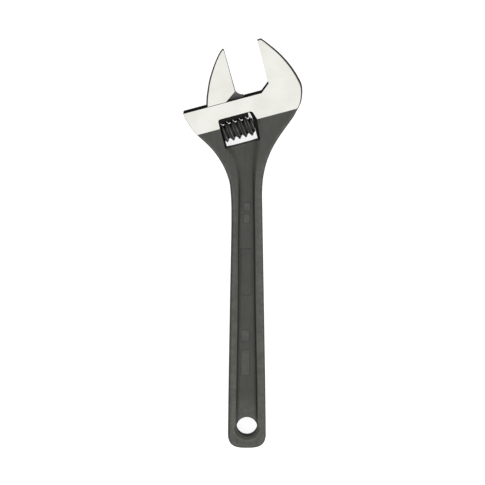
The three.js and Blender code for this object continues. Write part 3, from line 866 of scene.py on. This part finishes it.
# ---------------------------------------------------------------- materials
class Nodes:
    """Short ways to build a shader: socket values may be numbers, colours or other nodes' outputs."""

    def __init__(self, name):
        self.material = bpy.data.materials.new(name)
        self.material.use_nodes = True
        self.tree = self.material.node_tree
        self.shader = self.tree.nodes["Principled BSDF"]
        self.place = self.tree.nodes.new("ShaderNodeTexCoord").outputs["Object"]

    def make(self, kind, inputs, out=0, **settings):
        """A new node with its settings and sockets filled in, and the output that is wanted of it."""
        node = self.tree.nodes.new(kind)
        for key, value in settings.items():
            setattr(node, key, value)
        for socket, value in inputs.items():
            self.put(node, socket, value)
        return node.outputs[out]

    def put(self, node, socket, value):
        if isinstance(value, bpy.types.NodeSocket):
            self.tree.links.new(value, node.inputs[socket])
        else:
            node.inputs[socket].default_value = value

    def stretched(self, turn, scale):
        inputs = {"Vector": self.place, "Rotation": (0, 0, turn), "Scale": scale}
        return self.make("ShaderNodeMapping", inputs, vector_type="TEXTURE")

    def noise(self, size, detail=3.0, roughness=0.55, vector=None):
        """Noise with features of about the given size in millimetres, or in steps of a stretched vector."""
        scale = 1 / (size * MM) if vector is None else size
        inputs = {"Vector": vector or self.place, "Scale": scale, "Detail": detail, "Roughness": roughness}
        return self.make("ShaderNodeTexNoise", inputs)

    def ramp(self, value, low, high, to_low, to_high):
        inputs = {"From Min": low, "From Max": high, "To Min": to_low, "To Max": to_high, "Value": value}
        return self.make("ShaderNodeMapRange", inputs)

    def math(self, operation, a, b):
        return self.make("ShaderNodeMath", {0: a, 1: b}, operation=operation)

    def mix(self, share, a, b):
        return self.make("ShaderNodeMix", {0: share, 6: a, 7: b}, 2, data_type="RGBA")

    def attribute(self, name):
        return self.make("ShaderNodeAttribute", {}, "Fac", attribute_name=name)

    def bump(self, height, distance, below=None):
        """Bumps of the given height in millimetres, on top of the bumps below."""
        inputs = {"Height": height, "Distance": distance * MM}
        if below is not None:
            inputs["Normal"] = below
        return self.make("ShaderNodeBump", inputs)

    def finish(self, **inputs):
        for key, value in inputs.items():
            self.put(self.shader, key.replace("_", " "), value)
        return self.material


def tinted(value, cast):
    """A dark grey, with a green-brown cast where the cast is one."""
    return (value * (1 - 0.025 * cast), value, value * (1 - 0.15 * cast), 1)


def black_phosphate(name, tone, rub_and_light, spec, grain=0.03, cast=1.0, roughness=0.62):
    """Matt blacked forging: cloudy tone, fine crystalline grain, lighter where edges are rubbed and where
    highlights are painted, darker where shade is painted.
    """
    n = Nodes(name)
    clouds = n.noise(16, 4)
    speckle = n.noise(0.7, 3, 0.7)
    streaks = n.noise(1.0, 3, 0.6, n.stretched(0, (1.1 * MM, 34 * MM, 1.1 * MM)))
    base = n.mix(n.ramp(clouds, 0.3, 0.7, 0, 1), tinted(tone * 0.78, cast), tinted(tone * 1.1, cast))
    base = n.mix(n.ramp(streaks, 0.42, 0.62, 0, 0.55), base, tinted(tone * 1.35, cast))
    base = n.mix(n.ramp(speckle, 0.35, 0.75, 0, 0.45), base, tinted(tone * 1.7, cast))
    patchy = n.ramp(n.noise(5, 4), 0.35, 0.65, 0.35, 1.0)
    wear_and_painted_light = n.attribute("wear_and_painted_light")
    # Painted shade where the per-point value is below zero.
    base = n.mix(n.ramp(wear_and_painted_light, -1, 0, 0.8, 0), base, tinted(tone * 0.25, cast))
    # Rubbed edges and painted highlights where it is above zero.
    rubbed_and_lit = n.math("MULTIPLY", n.math("MAXIMUM", wear_and_painted_light, 0.0), patchy)
    colour = n.mix(n.math("MULTIPLY", rubbed_and_lit, 0.75), base, tinted(rub_and_light, cast))
    even_rough = n.ramp(speckle, 0.3, 0.8, roughness, roughness - 0.12)
    rough = n.math("SUBTRACT", even_rough, n.math("MULTIPLY", rubbed_and_lit, 0.12))
    hammered = n.bump(n.noise(7, 2), 0.14)
    normal = n.bump(speckle, grain, hammered)
    return n.finish(
        Base_Color=colour, Roughness=rough, Normal=normal, Metallic=0.0, Specular_IOR_Level=spec
    )


def ground_steel(name):
    """Bright ground faces: fine lines along the head, slight cloudiness."""
    n = Nodes(name)
    lay = n.stretched(HEAD_TURN, (9 * MM, 0.16 * MM, 9 * MM))
    lines = n.noise(1.0, 4, 0.6, lay)
    long_lines = n.noise(1.0, 2, 0.5, n.stretched(HEAD_TURN, (40 * MM, 0.7 * MM, 40 * MM)))
    clouds = n.noise(20, 3)
    tone = n.mix(n.ramp(clouds, 0.35, 0.65, 0, 1), (0.655, 0.65, 0.605, 1), (0.71, 0.705, 0.665, 1))
    tone = n.mix(n.ramp(lines, 0.4, 0.8, 0, 0.25), tone, (0.83, 0.825, 0.79, 1))
    rough = n.ramp(n.math("ADD", lines, n.math("MULTIPLY", long_lines, 0.5)), 0.5, 1.1, 0.24, 0.42)
    normal = n.bump(long_lines, 0.006, n.bump(lines, 0.0035))
    return n.finish(Base_Color=tone, Roughness=rough, Normal=normal, Metallic=1.0)


def spring_steel(name):
    n = Nodes(name)
    clouds = n.noise(1.5, 3)
    tone = n.mix(n.ramp(clouds, 0.3, 0.7, 0, 1), (0.30, 0.30, 0.31, 1), (0.48, 0.47, 0.46, 1))
    rough = n.ramp(clouds, 0.3, 0.7, 0.28, 0.45)
    return n.finish(Base_Color=tone, Roughness=rough, Metallic=1.0, Normal=n.bump(n.noise(0.3), 0.008))


# ---------------------------------------------------------------- assembly
def row_matrix():
    """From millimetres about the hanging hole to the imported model's metres."""
    low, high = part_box("body")
    shoulder_x = head_to_plane(SHOULDER_U, 0)[0] * MM
    tail_y = (TAIL_START_Y - TAIL_REACH * math.sin(0.49 * math.pi)) * MM
    place = Matrix.Translation((low.x - shoulder_x, low.y - tail_y, (low.z + high.z) / 2))
    return place @ Matrix.Scale(MM, 4)


def dress(piece, node, body, sharp=32):
    """Puts a finished shape in the row frame, and lets it stand for its CAD node."""
    piece.data.transform(row_matrix())
    piece.data.shade_smooth()
    piece.data.set_sharp_from_angle(angle=math.radians(sharp))
    even = piece.modifiers.new("even_shading", "WEIGHTED_NORMAL")
    even.keep_sharp = True
    even.weight = 50
    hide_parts(node)
    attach(piece, body)


def build_wrench():
    dress(body_piece(), "body", "frame")
    dress(jaw_piece(), "movable_jaw", "jaw")
    dress(knurl_piece(), "knurl", "thumb_knurl", 40)
    dress(pin_piece(), "knurl_pin", "frame")
    dress(spring_piece(), "pin_spring", "frame", 60)


# ---------------------------------------------------------------- studio
def floor_piece():
    size = 4.0
    mesh = bpy.data.meshes.new("studio_floor")
    corners = [(-size, -size), (size, -size), (size, size), (-size, size)]
    gap = 0.0002
    mesh.from_pydata([(x, y, -gap) for x, y in corners], [], [(0, 1, 2, 3)])
    n = Nodes("pale_floor")
    n.put(n.shader, "Base Color", (0.6, 0.6, 0.6, 1))
    n.put(n.shader, "Roughness", 0.9)
    n.put(n.shader, "Specular IOR Level", 0.0)
    n.put(n.shader, "Emission Color", (1, 1, 1, 1))
    n.put(n.shader, "Emission Strength", 0.78)
    mesh.materials.append(n.material)
    floor = link("studio_floor", mesh)
    floor.visible_diffuse = False
    floor.visible_glossy = False


def sky():
    """Soft light that is strong overhead and weak at the horizon."""
    world = bpy.data.worlds.new("studio")
    bpy.context.scene.world = world
    world.use_nodes = True
    tree = world.node_tree
    place = tree.nodes.new("ShaderNodeTexCoord")
    split = tree.nodes.new("ShaderNodeSeparateXYZ")
    ramp = tree.nodes.new("ShaderNodeValToRGB")
    tree.links.new(place.outputs["Generated"], split.inputs[0])
    tree.links.new(split.outputs["Z"], ramp.inputs[0])
    stops = [(0.0, 0.15), (0.25, 0.34), (0.6, 0.9), (0.85, 1.25)]
    ramp.color_ramp.elements.remove(ramp.color_ramp.elements[1])
    ramp.color_ramp.elements[0].position = stops[0][0]
    ramp.color_ramp.elements[0].color = (stops[0][1],) * 3 + (1,)
    for position, value in stops[1:]:
        ramp.color_ramp.elements.new(position).color = (value, value, value, 1)
    tree.links.new(ramp.outputs[0], tree.nodes["Background"].inputs["Color"])
    tree.nodes["Background"].inputs["Strength"].default_value = 1.0


def side_light():
    """Wide soft light from the fixed jaw's side, that picks out the right-hand edges."""
    lamp = bpy.data.lights.new("side_light", "SUN")
    lamp.energy = 0.9
    lamp.angle = math.radians(50)
    holder = bpy.data.objects.new("side_light", lamp)
    holder.rotation_euler = (0, math.radians(78), 0)
    bpy.context.scene.collection.objects.link(holder)


def camera():
    """Nearly overhead, tipped towards the head, so that the lower wall of the hanging hole shows."""
    tilt = math.radians(11.4)
    distance = 2.4
    view_width = 0.442805
    off_centre = Vector((-0.00003, 0.00315, 0))
    low, high = cad_box
    target = (Vector(low) + Vector(high)) / 2 + off_centre
    back = Vector((0, math.sin(tilt), math.cos(tilt)))
    right = Vector((1, 0, 0))
    turn = Matrix((right, back.cross(right), back)).transposed().to_4x4()
    data = bpy.data.cameras.new("view")
    data.sensor_width = 36
    data.lens = data.sensor_width * distance / view_width
    data.clip_end = 20
    eye = bpy.data.objects.new("view", data)
    eye.matrix_world = Matrix.Translation(target + back * distance) @ turn
    bpy.context.scene.collection.objects.link(eye)
    bpy.context.scene.camera = eye
    bpy.context.scene.view_settings.view_transform = "Standard"


FINISHES = [
    black_phosphate("black_phosphate", 0.048, 0.115, 0.35),
    ground_steel("ground_steel"),
    black_phosphate("painted_shade_black", 0.009, 0.03, 0.1),
    black_phosphate("blacked_steel", 0.011, 0.26, 0.5, 0.012, 0.2, 0.45),
    spring_steel("spring_steel"),
]
build_wrench()
floor_piece()
sky()
side_light()
camera()
